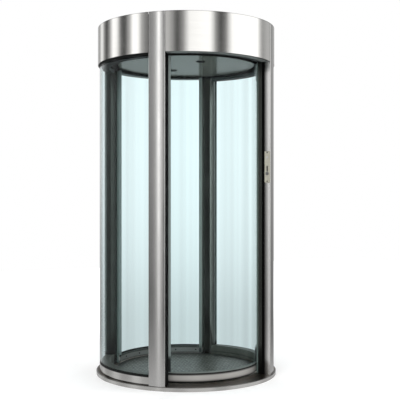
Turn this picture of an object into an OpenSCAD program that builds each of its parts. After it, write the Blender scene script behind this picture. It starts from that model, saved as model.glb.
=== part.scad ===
// Cylindrical security portal: a round glass cabin on a steel base, under a
// steel canopy, with one curved sliding door in its front doorway and one in
// its back doorway. The fixed glass walls stand left and right.
// Z is up, the front doorway faces -Y, and the origin is the centre of the
// underside of the base.

/* [Overall] */
// Outside diameter over the posts and the canopy
portal_d = 1200; // [1000:10:1600]
// Overall height, from the underside of the base to the top of the canopy
portal_h = 2330; // [2000:10:2900]
// Height of the canopy
canopy_h = 250; // [200:10:350]
// Clearance that every moving piece keeps from what it passes
run_clear = 5; // [5:0.5:10]
// Gap at a seat where one piece rests on or butts against another
seat_gap = 0.3; // [0.1:0.1:0.8]

/* [Base] */
// Height of the base
base_h = 25; // [18:1:40]
// How far the base ring stands out past the posts
base_rim = 10; // [4:1:30]
// Wall of the base ring
base_ring_t = 6; // [3:0.5:10]
// Thickness of the base's top sheet
base_sheet = 6; // [3:0.5:10]
// Thickness of the ribs under the top sheet
base_rib_t = 8; // [4:1:12]
// Number of ribs under the top sheet
base_ribs = 8; // [4:1:12]
// Diameter of the hub where the ribs meet
base_hub_d = 160; // [80:5:240]
// Height of the floor mat above the base
mat_h = 11; // [10:1:22]
// Width of the steel rim around the mat
mat_rim_w = 7; // [4:0.5:20]

/* [Posts] */
// Width of a post's outer face
post_w = 107; // [80:1:135]
// Depth of a post's steel cover
post_depth = 40; // [36:1:60]
// Radius of the cover's outer upright edges
post_bend = 3; // [1:0.5:4]
// Sheet thickness of a post's steel cover
post_sheet = 3; // [2:0.5:4]
// Depth of the dark liner behind the cover
liner_depth = 45; // [34:1:55]
// Wall of the liner
liner_wall = 3; // [2:0.5:4]
// Width of the liner's lug that fills the notch in the cover beside the fixed wall
lug_w = 20; // [12:1:26]
// Radius of the liner's inner corner beside the fixed wall
liner_round = 30; // [10:1:34]
// Depth of the rubber seal in the doorway side of a liner
seal_depth = 19; // [10:1:24]
// Width of the pocket that holds the seal
seal_pocket = 14; // [8:1:20]
// How far the seal lies back from the doorway side of a post
seal_recess = 3; // [1:0.5:5]
// Thickness of the rubber buffer that a door closes beside
buffer_t = 5; // [3:0.5:8]
// Width of the brush seal that a door slides past
brush_w = 8; // [4:1:12]
// Distance of the brush seal from the doorway side of its post
brush_at = 30; // [20:1:36]
// Gap between the brush seals and the doors
brush_gap = 1; // [0.5:0.5:3]

/* [Sliding doors] */
// Height of a door's lower edge above the base
door_rise = 12; // [8:1:20]
// Gap between the liners and the doors
door_gap = 20; // [8:1:30]
// Thickness of a door's rails
rail_t = 18; // [16:1:26]
// Height of a door's bottom rail
rail_h = 46; // [30:1:80]
// Height of a door's top rail, inside the canopy
top_rail_h = 35; // [25:1:50]
// Height of the bottom gasket
gasket_h = 14; // [8:1:25]
// Height of the top gasket, below the canopy
top_gasket_h = 6; // [3:1:30]
// Thickness of a door's glass
door_glass_t = 10; // [8:1:12]
// How deep the glass sits in its rails
glass_bite = 16; // [8:1:20]
// How far the closing edge runs behind its post
close_lap = 14; // [8:1:20]
// How far the trailing edge runs behind its post
trail_lap = 55; // [20:1:60]
// Width of the vertical strip on a door's closing edge
close_strip_w = 22; // [18:1:30]
// How deep the glass sits in the closing strip
close_bite = 14; // [6:1:16]
// Width of the vertical strip on a door's trailing edge
trail_strip_w = 13; // [10:1:30]
// How deep the glass sits in the trailing strip
trail_bite = 7; // [4:1:8]

/* [Side walls] */
// How far the side walls lie back from the face of the posts
wall_inset = 12; // [4:1:20]
// Thickness of the fixed glass
wall_glass_t = 12; // [8:1:16]
// Height of the steel rail below the fixed glass
wall_rail_h = 50; // [30:1:80]
// Height of the gasket below and above the fixed glass
wall_gasket_h = 13; // [6:1:20]
// Width of the gasket between the fixed glass and the posts
wall_gasket_w = 6; // [3:0.5:10]
// Sheet thickness of the inner curb and the header
curb_sheet = 3; // [2:0.5:5]
// How far the inner curb stands up behind the lower edge of the fixed glass
curb_lip = 2; // [0:0.5:10]
// How far the curb lies back from the inner face of the liners
curb_setback = 5; // [5:1:15]
// Height of the header below the canopy
header_h = 20; // [10:1:30]

/* [Canopy] */
// Sheet thickness of the canopy panels
canopy_sheet = 3; // [2:0.5:5]
// Gap between a canopy panel and a post
panel_gap = 2; // [0.5:0.5:4]
// Thickness of the soffit ring that closes the canopy from below
soffit_t = 4; // [3:0.5:8]
// Gap between the doors and the soffit ring
soffit_gap = 14; // [5:1:30]
// Height of the ceiling above the lower edge of the canopy
ceiling_rise = 7; // [0:1:20]
// Gap between the doors and the ceiling
ceiling_gap = 13; // [5:1:20]
// Thickness of the ceiling panel
ceiling_t = 3; // [2:0.5:6]
// Height of the upturned edge of the ceiling panel
ceiling_edge_h = 25; // [12:1:40]
// How far the roof cover lies below the top of the canopy
roof_drop = 12; // [4:1:25]
// Thickness of the roof cover
roof_t = 3; // [2:0.5:6]
// Diameter of the two ceiling sensors
sensor_d = 62; // [40:1:90]
// Distance of each ceiling sensor from the centre
sensor_at = 205; // [120:5:300]
// How far the sensors stand out below the ceiling
sensor_drop = 3; // [1:0.5:8]

/* [Running gear] */
// Height of the track's running surface above the top rails
track_rise = 39; // [20:1:60]
// Thickness of the track's ledge
track_ledge_t = 6; // [4:1:10]
// Wall of the track
track_wall = 4; // [3:0.5:8]
// Diameter of a hanger's roller
roller_d = 40; // [24:1:50]
// Width of a hanger's roller
roller_w = 12; // [8:1:16]
// Width of a hanger's plate
hanger_w = 70; // [40:1:90]
// Thickness of a hanger's plate
hanger_t = 6; // [4:0.5:8]
// Angle of each hanger from the middle of its door
hanger_angle = 26; // [15:1:30]
// Height of the two crossed beams that carry the roof and the ceiling
beam_h = 40; // [20:1:60]
// Width of the beams
beam_w = 50; // [30:1:70]
// Diameter of the rods that the ceiling hangs on
rod_d = 12; // [8:1:16]
// Distance of each ceiling rod from the centre
rod_at = 330; // [200:5:360]

/* [Lock plate] */
// Distance of the lock plate from the edges of the flat part of the post's doorway side
lock_margin = 0.5; // [0.5:0.5:6]
// Height of the lock plate
lock_h = 208; // [150:1:260]
// Thickness of the lock plate
lock_t = 3; // [2:0.5:4]
// Corner radius of the lock plate
lock_corner = 3; // [1:0.5:6]
// Height of the lower edge of the plate above the base
lock_z = 1259; // [700:1:1500]
// Height of the key cylinder above the lower edge of the plate
key_z = 61; // [40:1:62]
// Diameter of the key cylinder
key_d = 22; // [14:1:24]
// How far the key cylinder and the button stand out of the plate
key_stand = 3; // [1:0.5:5]
// Width of the keyway
keyway_w = 3; // [2:0.5:5]
// Height of the handle slot above the lower edge of the plate
slot_z = 75; // [74:1:110]
// Length of the handle slot
slot_h = 36; // [20:1:40]
// Width of the handle slot
slot_w = 9; // [5:1:12]
// Height of the push button above the lower edge of the plate
button_z = 167; // [150:1:190]
// Diameter of the push button
button_d = 13; // [8:1:18]

/* [Hidden] */
$fn = 144;
eps = 0.01;

// Radii, from the outside to the centre
post_r = portal_d / 2;
cover_r = post_r - post_depth;
liner_r = cover_r - liner_depth;
wall_r = post_r - wall_inset;
wall_in_r = wall_r - wall_glass_t;
curb_r = liner_r + curb_setback;
door_r = liner_r - door_gap;
door_in_r = door_r - rail_t;
door_mid_r = (door_r + door_in_r) / 2;
groove_in_r = door_mid_r - door_glass_t / 2;
groove_r = door_mid_r + door_glass_t / 2;
soffit_r = door_r + soffit_gap;
panel_in_r = post_r - canopy_sheet;
mat_rim_r = door_in_r - run_clear;
mat_r = mat_rim_r - mat_rim_w;
ceiling_r = door_in_r - ceiling_gap;
base_r = post_r + base_rim;
base_in_r = base_r - base_ring_t;

// Width of the lock plate
lock_w = post_depth - post_bend - 2 * lock_margin;

// Heights
canopy_z = portal_h - canopy_h;
door_z = base_h + door_rise;
rail_top_z = door_z + rail_h;
ceiling_z = canopy_z + ceiling_rise;
roof_z = portal_h - roof_drop - roof_t;
beam_z = roof_z - seat_gap - beam_h;
track_z = canopy_z + top_rail_h + track_rise;
glass_low_z = rail_top_z - glass_bite;
glass_high_z = canopy_z + glass_bite;
wall_rail_z = base_h + wall_rail_h;
wall_glass_z = wall_rail_z + wall_gasket_h;
wall_glass_top_z = canopy_z - wall_gasket_h;
curb_z = wall_glass_z + curb_lip;

// Angles
post_half = asin(post_w / 2 / post_r);
doorway_half = 45 - post_half;
bend_at = post_half - asin(post_bend / (post_r - post_bend));
lug_end = -post_half + arc_angle(lug_w, cover_r);
round_r = liner_r + liner_round;
round_at = -post_half + asin(liner_round / round_r);
front_at = -90;
back_at = 90;
left_at = 180;
right_at = 0;
close_end = -(doorway_half + arc_angle(close_lap, door_r));
trail_end = doorway_half + arc_angle(trail_lap, door_r);
close_strip_end = close_end + arc_angle(close_strip_w, door_r);
trail_strip_end = trail_end - arc_angle(trail_strip_w, door_r);
glass_start = close_end + arc_angle(close_strip_w - close_bite, door_r);
glass_end = trail_end - arc_angle(trail_strip_w - trail_bite, door_r);

// Angle that a length along the arc takes at a radius
function arc_angle(length, radius) = length / radius * 180 / PI;

// Point at a radius and an angle
function at_angle(radius, angle) = [radius * cos(angle), radius * sin(angle)];

// Piece of a ring between two radii, two heights and two angles
module arc_block(r1, r2, z1, z2, a1, a2) {
    rotate([0, 0, a1])
        rotate_extrude(angle = a2 - a1)
            translate([r1, z1]) square([r2 - r1, z2 - z1]);
}

// Whole ring between two radii and two heights
module ring_block(r1, r2, z1, z2) {
    rotate_extrude()
        translate([r1, z1]) square([r2 - r1, z2 - z1]);
}

// Takes a sharp upright corner down to a round of a radius about a centre; side and face
// point from the centre to the two faces that the round joins
module corner_cut(centre, side, face, radius, z1, z2) {
    reach = radius + 2;
    difference() {
        translate([0, 0, z1])
            linear_extrude(z2 - z1)
                polygon([
                    centre, centre + reach * side,
                    centre + reach * (side + face), centre + reach * face
                ]);
        translate([centre[0], centre[1], z1 - 1]) cylinder(r = radius, h = z2 - z1 + 2);
    }
}

// Stands its children at a post's angle, with the doorway on the positive side
module at_post(angle, doorway_side) {
    rotate([0, 0, angle])
        mirror([0, doorway_side < 0 ? 1 : 0, 0])
            children();
}

// ---- Base ----

module base_plate() {
    color("dimgray") {
        difference() {
            cylinder(r = base_in_r, h = base_h);
            difference() {
                translate([0, 0, -1])
                    cylinder(r = base_in_r - base_ring_t, h = base_h - base_sheet + 1);
                translate([0, 0, -2]) cylinder(d = base_hub_d, h = base_h + 2);
                for (i = [0 : base_ribs - 1])
                    rotate([0, 0, i * 360 / base_ribs])
                        translate([0, -base_rib_t / 2, -2])
                            cube([base_in_r, base_rib_t, base_h + 2]);
            }
        }
    }
}

module base_ring() {
    bevel = base_ring_t / 3;
    color("silver")
        rotate_extrude()
            polygon([
                [base_in_r, 0], [base_r, 0], [base_r, base_h - bevel],
                [base_r - bevel, base_h], [base_in_r, base_h]
            ]);
}

module floor_mat() {
    color("darkslategray")
        translate([0, 0, base_h]) cylinder(r = mat_r, h = mat_h - 1);
}

module floor_rim() {
    color("gray")
        rotate_extrude()
            polygon([
                [mat_r, base_h], [mat_rim_r, base_h], [mat_rim_r, base_h + mat_h - 1],
                [mat_rim_r - 1, base_h + mat_h], [mat_r, base_h + mat_h]
            ]);
}

// ---- Posts ----

// Notch in the cover for the liner's lug, beside the fixed wall, grown by a wall
module lug_notch(grow) {
    arc_block(cover_r - 1, wall_in_r + grow, base_h - 2, canopy_z + grow,
        -post_half - 1, lug_end + arc_angle(grow, cover_r));
}

// Recess in the cover's doorway side for the rubber buffer, grown by a wall
module buffer_recess(grow) {
    arc_block(liner_r - 1, post_r - post_sheet - grow, base_h - 2, canopy_z + grow,
        post_half - arc_angle(buffer_t + grow, cover_r), post_half + 1);
}

// Folded sheet cover; a closing post has the recess for the buffer
module post_cover(closing) {
    inner_half = post_half - arc_angle(post_sheet, cover_r);
    color("silver")
        difference() {
            arc_block(cover_r, post_r, base_h, portal_h, -post_half, post_half);
            for (side = [0, 1])
                mirror([0, side, 0])
                    corner_cut(at_angle(post_r - post_bend, bend_at), at_angle(1, post_half + 90),
                        at_angle(1, bend_at), post_bend, base_h - 1, portal_h + 1);
            lug_notch(0);
            if (closing) buffer_recess(0);
            difference() {
                arc_block(cover_r + post_sheet, post_r - post_sheet,
                    base_h - 1, portal_h - post_sheet, -inner_half, inner_half);
                lug_notch(post_sheet);
                if (closing) buffer_recess(post_sheet);
            }
        }
}

// Takes the liner's inner corner beside the fixed wall down to its round, less a wall
module liner_corner(wall, z1, z2) {
    corner_cut(at_angle(round_r, round_at), at_angle(1, -post_half - 90),
        at_angle(1, round_at + 180), liner_round - wall, z1, z2);
}

// Hollow box behind the cover, with a lug that fills the notch; on a closing post it
// leaves room for the buffer
module liner(closing) {
    inner_half = post_half - arc_angle(liner_wall, liner_r);
    side_half = post_half - (closing ? arc_angle(buffer_t, cover_r) : 0);
    pocket_half = post_half - arc_angle(seal_pocket, cover_r);
    hollow_end = (closing ? side_half : pocket_half) - arc_angle(liner_wall, cover_r);
    color("#2e2f31")
        difference() {
            arc_block(liner_r, wall_in_r, base_h, canopy_z, -post_half, side_half);
            arc_block(cover_r, wall_in_r + 1, base_h - 1, canopy_z + 1, lug_end, post_half + 1);
            liner_corner(0, base_h - 1, canopy_z + 1);
            // pocket for the seal, open to the doorway
            if (!closing)
                arc_block(cover_r - seal_depth, cover_r + 1, base_h - 1, canopy_z + 1,
                    pocket_half, post_half + 1);
            // hollow inside
            difference() {
                arc_block(liner_r + liner_wall, wall_in_r - liner_wall,
                    base_h - 1, canopy_z + 1, -inner_half, hollow_end);
                arc_block(cover_r - liner_wall, wall_in_r, base_h - 2, canopy_z + 2,
                    lug_end - arc_angle(liner_wall, cover_r), post_half);
                liner_corner(liner_wall, base_h - 2, canopy_z + 2);
            }
        }
}

// Seal in the doorway side of a trailing post, and the brush that the door slides past
module trailing_seals() {
    pocket_half = post_half - arc_angle(seal_pocket, cover_r);
    face_half = post_half - arc_angle(seal_recess, cover_r);
    brush_half = post_half - arc_angle(brush_at, liner_r);
    arc_block(cover_r - seal_depth, cover_r, base_h, canopy_z, pocket_half, face_half);
    arc_block(door_r + brush_gap, liner_r, base_h, canopy_z,
        brush_half - arc_angle(brush_w, liner_r), brush_half);
}

// Rubber buffer that covers the doorway side of a closing post
module closing_buffer() {
    arc_block(liner_r, post_r - post_sheet, base_h, canopy_z,
        post_half - arc_angle(buffer_t, cover_r), post_half);
}

module post_seals() {
    color("#141516") {
        at_post(-135, 1) closing_buffer();
        at_post(-45, -1) trailing_seals();
        at_post(45, 1) closing_buffer();
        at_post(135, -1) trailing_seals();
    }
}

// ---- Side walls ----

module side_glass(at) {
    half = doorway_half - arc_angle(wall_gasket_w, wall_r);
    color("lightcyan", 0.4)
        arc_block(wall_in_r, wall_r, wall_glass_z, wall_glass_top_z, at - half, at + half);
}

module side_rail(at) {
    color("silver")
        arc_block(wall_in_r, wall_r, base_h, wall_rail_z, at - doorway_half, at + doorway_half);
}

// Bends a profile along a side wall and fits its ends to the two liners
module along_wall(at) {
    reach = doorway_half + arc_angle(liner_round, curb_r);
    difference() {
        rotate([0, 0, at - reach])
            rotate_extrude(angle = 2 * reach)
                children();
        at_post(at - 45, -1) liner_room();
        at_post(at + 45, 1) liner_room();
    }
}

// Room that a liner takes beside a side wall, with the gap at its seat
module liner_room() {
    difference() {
        arc_block(curb_r - 2, wall_in_r + 2, base_h - 1, canopy_z + 1,
            -post_half - arc_angle(seat_gap, round_r), post_half);
        liner_corner(-seat_gap, base_h - 2, canopy_z + 2);
    }
}

// Folded sheet, closed on top and open towards the base
module side_curb(at) {
    color("#55585a")
        along_wall(at)
            polygon([
                [curb_r, base_h], [curb_r + curb_sheet, base_h],
                [curb_r + curb_sheet, curb_z - curb_sheet],
                [wall_in_r - curb_sheet, curb_z - curb_sheet],
                [wall_in_r - curb_sheet, base_h], [wall_in_r, base_h],
                [wall_in_r, curb_z], [curb_r, curb_z]
            ]);
}

// The same, closed below and open towards the canopy
module side_header(at) {
    color("#232425")
        along_wall(at)
            polygon([
                [curb_r, canopy_z - header_h], [wall_in_r, canopy_z - header_h],
                [wall_in_r, canopy_z], [wall_in_r - curb_sheet, canopy_z],
                [wall_in_r - curb_sheet, canopy_z - header_h + curb_sheet],
                [curb_r + curb_sheet, canopy_z - header_h + curb_sheet],
                [curb_r + curb_sheet, canopy_z], [curb_r, canopy_z]
            ]);
}

// Frame of rubber between the fixed glass and what holds it
module wall_gasket(at) {
    outer_half = doorway_half - arc_angle(seat_gap, wall_in_r);
    glass_half = doorway_half - arc_angle(wall_gasket_w, wall_r);
    difference() {
        arc_block(wall_in_r, wall_r, wall_rail_z, canopy_z, at - outer_half, at + outer_half);
        arc_block(wall_in_r - 1, wall_r + 1, wall_glass_z, wall_glass_top_z,
            at - glass_half, at + glass_half);
    }
}

module side_gaskets() {
    color("#18191a") {
        wall_gasket(left_at);
        wall_gasket(right_at);
    }
}

// ---- Canopy ----

module canopy_panel(at) {
    half = doorway_half - arc_angle(panel_gap, post_r);
    color("silver")
        arc_block(panel_in_r, post_r, canopy_z, portal_h, at - half, at + half);
}

// Cuts a child free of the upper ends of the posts
module clear_of_posts() {
    difference() {
        children();
        for (at = [-135, -45, 45, 135])
            arc_block(cover_r, post_r + 1, base_h, portal_h + 1, at - post_half, at + post_half);
    }
}

module canopy_soffit() {
    color("#7b8481")
        clear_of_posts()
            ring_block(soffit_r, panel_in_r, canopy_z, canopy_z + soffit_t);
}

module roof_cover() {
    color("gray")
        clear_of_posts()
            translate([0, 0, roof_z]) cylinder(r = panel_in_r, h = roof_t);
}

module canopy_beams() {
    rod_z = ceiling_z + ceiling_t;
    color("#3a3c3d") {
        intersection() {
            union()
                for (turn = [45, 135])
                    rotate([0, 0, turn])
                        translate([-post_r, -beam_w / 2, beam_z]) cube([portal_d, beam_w, beam_h]);
            cylinder(r = cover_r, h = portal_h);
        }
        for (turn = [45, 135, 225, 315])
            rotate([0, 0, turn])
                translate([rod_at, 0, rod_z]) cylinder(d = rod_d, h = beam_z - rod_z);
    }
}

module ceiling_panel() {
    color("#7b8481")
        difference() {
            rotate_extrude()
                polygon([
                    [0, ceiling_z], [ceiling_r, ceiling_z],
                    [ceiling_r, ceiling_z + ceiling_edge_h],
                    [ceiling_r - ceiling_t, ceiling_z + ceiling_edge_h],
                    [ceiling_r - ceiling_t, ceiling_z + ceiling_t], [0, ceiling_z + ceiling_t]
                ]);
            for (y = [-sensor_at, sensor_at])
                translate([0, y, ceiling_z - 1]) cylinder(d = sensor_d - 6, h = ceiling_t + 2);
        }
}

module ceiling_sensors() {
    color("#1d1f20")
        for (y = [-sensor_at, sensor_at])
            translate([0, y, 0]) {
                translate([0, 0, ceiling_z - sensor_drop])
                    cylinder(d1 = sensor_d - 4, d2 = sensor_d, h = sensor_drop);
                translate([0, 0, ceiling_z - eps])
                    cylinder(d = sensor_d - 6, h = ceiling_t + 12);
            }
}

// Ring that stands on the soffit, with the ledge that the rollers run on
module door_track() {
    web_r = door_r + soffit_gap + track_wall;
    ledge_r = door_in_r + hanger_t + run_clear;
    color("#2a2b2c")
        rotate_extrude()
            polygon([
                [web_r - track_wall, canopy_z + soffit_t], [web_r, canopy_z + soffit_t],
                [web_r, track_z + roller_d], [web_r - track_wall, track_z + roller_d],
                [web_r - track_wall, track_z], [ledge_r, track_z],
                [ledge_r, track_z - track_ledge_t], [web_r - track_wall, track_z - track_ledge_t]
            ]);
}

// ---- Lock plate, on the doorway side of the front right post ----

// Stands its children on the post: X away from the centre, -Y into the doorway
module on_lock_side() {
    rotate([0, 0, front_at + doorway_half])
        translate([cover_r + lock_margin, 0, base_h + lock_z])
            children();
}

module lock_plate() {
    color("#b9b6a6")
        on_lock_side()
            difference() {
                rotate([90, 0, 0]) {
                    translate([lock_corner, 0, 0]) cube([lock_w - 2 * lock_corner, lock_h, lock_t]);
                    translate([0, lock_corner, 0]) cube([lock_w, lock_h - 2 * lock_corner, lock_t]);
                    for (x = [lock_corner, lock_w - lock_corner], z = [lock_corner, lock_h - lock_corner])
                        translate([x, z, 0]) cylinder(r = lock_corner, h = lock_t);
                }
                translate([lock_w / 2, 1, key_z])
                    rotate([90, 0, 0]) cylinder(d = key_d, h = lock_t + 2);
                translate([lock_w / 2, 1, button_z])
                    rotate([90, 0, 0]) cylinder(d = button_d, h = lock_t + 2);
                translate([(lock_w - slot_w) / 2, -lock_t - 1, slot_z])
                    cube([slot_w, lock_t + 2, slot_h]);
            }
}

// Key cylinder with its keyway, button, and the bottom of the handle slot
module lock_fittings() {
    color("#3a3936")
        on_lock_side() {
            translate([lock_w / 2, 0, key_z])
                rotate([90, 0, 0])
                    difference() {
                        cylinder(d = key_d, h = lock_t + key_stand);
                        translate([-keyway_w / 2, -key_d / 4, lock_t])
                            cube([keyway_w, key_d / 2, key_stand + 1]);
                    }
            translate([lock_w / 2, 0, button_z])
                rotate([90, 0, 0]) cylinder(d = button_d, h = lock_t + key_stand / 2);
            translate([(lock_w - slot_w) / 2, -1, slot_z]) cube([slot_w, 1, slot_h]);
        }
}

// ---- Sliding doors ----

// Channel of a door's rail: a block with the groove for the glass
module rail_channel(z1, z2, groove_z1, groove_z2) {
    difference() {
        arc_block(door_in_r, door_r, z1, z2, close_end, trail_end);
        arc_block(groove_in_r, groove_r, groove_z1, groove_z2, close_end - 1, trail_end + 1);
    }
}

// The closing strip's foot takes the place of the channel's inner wall
module door_rail() {
    color("silver")
        difference() {
            rail_channel(door_z, rail_top_z, glass_low_z, rail_top_z + 1);
            arc_block(door_in_r - 1, groove_in_r, door_z - 1, rail_top_z + 1,
                close_end - 1, close_strip_end);
        }
}

module door_top_rail() {
    color("#2a2b2c")
        rail_channel(canopy_z, canopy_z + top_rail_h, canopy_z - 1, glass_high_z);
}

module door_glass() {
    color("lightcyan", 0.4)
        arc_block(groove_in_r, groove_r, glass_low_z, glass_high_z, glass_start, glass_end);
}

// Beads on both faces of the glass; the inner one lies between the two strips, the outer
// one runs on to the door's ends
module gasket_beads(z1, z2) {
    arc_block(door_in_r, groove_in_r, z1, z2, close_strip_end, trail_strip_end);
    arc_block(groove_r, door_r, z1, z2, close_end, trail_end);
}

module door_gaskets() {
    color("#18191a") {
        gasket_beads(rail_top_z, rail_top_z + gasket_h);
        gasket_beads(canopy_z - top_gasket_h, canopy_z);
    }
}

// Vertical strips, grooved for the glass, with room for the outer beads; the closing one
// runs down over the rail's inner face as a foot
module door_strips() {
    color("#5e6764")
        difference() {
            union() {
                arc_block(door_in_r, door_r - 1, door_z, canopy_z, close_end, close_strip_end);
                arc_block(door_in_r, door_r - 1, rail_top_z, canopy_z, trail_strip_end, trail_end);
            }
            arc_block(groove_in_r, groove_r, rail_top_z - 1, canopy_z + 1, glass_start, glass_end);
            arc_block(groove_in_r - seat_gap, door_r, door_z - 1, rail_top_z,
                close_end - 1, close_strip_end + 1);
            arc_block(groove_r, door_r, rail_top_z - 1, rail_top_z + gasket_h,
                close_end - 1, trail_end + 1);
            arc_block(groove_r, door_r, canopy_z - top_gasket_h, canopy_z + 1,
                close_end - 1, trail_end + 1);
        }
}

// Two plates on the top rail, each with a roller on the track's ledge
module door_hangers() {
    axle_z = track_z + seat_gap + roller_d / 2;
    plate_top = axle_z + roller_d / 2;
    roller_r = door_in_r + hanger_t + run_clear + 1;
    middle = (close_end + trail_end) / 2;
    color("#6d6f70")
        for (turn = [middle - hanger_angle, middle + hanger_angle])
            rotate([0, 0, turn]) {
                translate([door_in_r + 1, -hanger_w / 2, canopy_z + top_rail_h])
                    cube([hanger_t - 1, hanger_w, plate_top - canopy_z - top_rail_h]);
                translate([door_in_r + hanger_t / 2, 0, axle_z])
                    rotate([0, 90, 0]) cylinder(d = roller_d / 4, h = roller_r - door_in_r + roller_w / 2);
                translate([roller_r, 0, axle_z])
                    rotate([0, 90, 0]) cylinder(d = roller_d, h = roller_w);
            }
}

base_plate();
base_ring();
floor_mat();
floor_rim();
at_post(-135, 1) post_cover(true);  // post_front_left
at_post(-45, -1) post_cover(false);  // post_front_right
at_post(135, -1) post_cover(false);  // post_back_left
at_post(45, 1) post_cover(true);  // post_back_right
at_post(-135, 1) liner(true);  // liner_front_left
at_post(-45, -1) liner(false);  // liner_front_right
at_post(135, -1) liner(false);  // liner_back_left
at_post(45, 1) liner(true);  // liner_back_right
post_seals();
side_glass(left_at);  // side_glass_left
side_glass(right_at);  // side_glass_right
side_rail(left_at);  // side_rail_left
side_rail(right_at);  // side_rail_right
side_curb(left_at);  // side_curb_left
side_curb(right_at);  // side_curb_right
side_header(left_at);  // side_header_left
side_header(right_at);  // side_header_right
side_gaskets();
canopy_panel(front_at);  // canopy_front
canopy_panel(back_at);  // canopy_back
canopy_panel(left_at);  // canopy_left
canopy_panel(right_at);  // canopy_right
canopy_soffit();
canopy_beams();
roof_cover();
ceiling_panel();
ceiling_sensors();
door_track();
lock_plate();
lock_fittings();
rotate([0, 0, front_at]) door_glass();  // front_door_glass
rotate([0, 0, front_at]) door_rail();  // front_door_rail
rotate([0, 0, front_at]) door_top_rail();  // front_door_top_rail
rotate([0, 0, front_at]) door_gaskets();  // front_door_gaskets
rotate([0, 0, front_at]) door_strips();  // front_door_strips
rotate([0, 0, front_at]) door_hangers();  // front_door_hangers
rotate([0, 0, back_at]) door_glass();  // back_door_glass
rotate([0, 0, back_at]) door_rail();  // back_door_rail
rotate([0, 0, back_at]) door_top_rail();  // back_door_top_rail
rotate([0, 0, back_at]) door_gaskets();  // back_door_gaskets
rotate([0, 0, back_at]) door_strips();  // back_door_strips
rotate([0, 0, back_at]) door_hangers();  // back_door_hangers
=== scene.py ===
# Round security portal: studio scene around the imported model
import bpy
import bmesh
import math
from mathutils import Matrix, Vector


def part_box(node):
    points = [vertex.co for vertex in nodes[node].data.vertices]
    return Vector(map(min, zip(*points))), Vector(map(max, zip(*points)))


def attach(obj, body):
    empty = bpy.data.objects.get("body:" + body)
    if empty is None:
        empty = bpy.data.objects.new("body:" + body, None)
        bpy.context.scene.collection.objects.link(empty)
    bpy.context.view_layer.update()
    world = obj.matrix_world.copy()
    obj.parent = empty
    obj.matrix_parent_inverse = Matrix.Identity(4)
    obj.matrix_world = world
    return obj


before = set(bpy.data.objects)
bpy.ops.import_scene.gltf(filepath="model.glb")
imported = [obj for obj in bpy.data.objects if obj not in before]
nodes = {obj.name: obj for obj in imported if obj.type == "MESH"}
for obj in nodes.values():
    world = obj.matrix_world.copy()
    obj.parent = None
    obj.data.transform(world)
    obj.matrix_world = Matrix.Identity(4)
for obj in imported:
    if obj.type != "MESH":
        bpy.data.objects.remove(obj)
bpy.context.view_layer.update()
print("portal: frame loaded,", len(nodes), "nodes")


def toLinear(hexColour):
    channels = [int(hexColour[i:i + 2], 16) / 255 for i in (1, 3, 5)]
    return [c / 12.92 if c <= 0.04045 else ((c + 0.055) / 1.055) ** 2.4 for c in channels] + [1.0]


# inputs of a Mix node, and the output of one that mixes colours
numberA, numberB = 2, 3
colourA, colourB = 6, 7
mixedColour = 2
# a noise texture hardly leaves this range
noiseRange = {"From Min": 0.3, "From Max": 0.7}


def addNode(tree, kind, settings=None, inputs=None, stops=()):
    node = tree.nodes.new(kind)
    for key, value in (settings or {}).items():
        setattr(node, key, value)
    for key, value in (inputs or {}).items():
        if isinstance(value, bpy.types.NodeSocket):
            tree.links.new(value, node.inputs[key])
        else:
            node.inputs[key].default_value = value
    if stops:   # of a colour ramp: places from 0 to 1, each with a grey level
        marks = node.color_ramp.elements
        marks.remove(marks[0])
        for index, (place, level) in enumerate(stops):
            mark = marks.new(place) if index else marks[0]
            mark.position = place
            mark.color = (level, level, level, 1)
    return node


def levelAlong(tree, value, stops, ease="LINEAR"):
    # grey level that follows a value, from stops of (value, level)
    first, last = stops[0][0], stops[-1][0]
    place = addNode(tree, "ShaderNodeMapRange", {},
                    {"Value": value, "From Min": first, "From Max": last})
    ramp = addNode(tree, "ShaderNodeValToRGB", {}, {0: place.outputs[0]},
                   [((at - first) / (last - first), level) for at, level in stops])
    ramp.color_ramp.interpolation = ease
    return ramp.outputs["Color"]


def startMaterial(name):
    material = bpy.data.materials.new(name)
    material.use_nodes = True
    material.node_tree.nodes.clear()
    return material, material.node_tree


def finishMaterial(tree, shader):
    addNode(tree, "ShaderNodeOutputMaterial", {}, {"Surface": shader.outputs[0]})


camera = {
    "place": (-2.5295, -4.8799, 1.1708), "turn": -27.4,   # metres, and degrees from along y
    "lens": 72.24, "shift": 0.0347,
    "reach": 100,   # metres, past all that the studio holds
}

cameraData = bpy.data.cameras.new("portalCamera")
cameraData.lens = camera["lens"]
cameraData.shift_x = camera["shift"]
cameraData.clip_end = camera["reach"]
cameraObject = bpy.data.objects.new("portalCamera", cameraData)
cameraObject.location = camera["place"]
cameraObject.rotation_euler = (math.radians(90), 0, math.radians(camera["turn"]))
bpy.context.scene.collection.objects.link(cameraObject)
bpy.context.scene.camera = cameraObject
print("portal: camera set")

studio = {
    "heading": -117.4,   # degrees, the direction the strip lights are set out from
    "fill": 0.8,         # even light from all sides
    "strips": 1.75,      # level of the strip lights in the steel
    "roomStrips": 1.4,   # the same, for what stands inside the glass
    "overhead": 1.1,     # large soft light above, in the steel
    "overheadRise": (0.45, 0.85),   # it starts and is full at these sines of the height
    "floorGlow": 0.66,   # pale floor, in the steel
    "floorRise": (-0.14, -0.26),    # the same two sines for the floor
    "folds": 0.09,       # how much the folds of the backdrop show through the glass
    "foldScale": 42.0,   # how close the folds are
}

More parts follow.
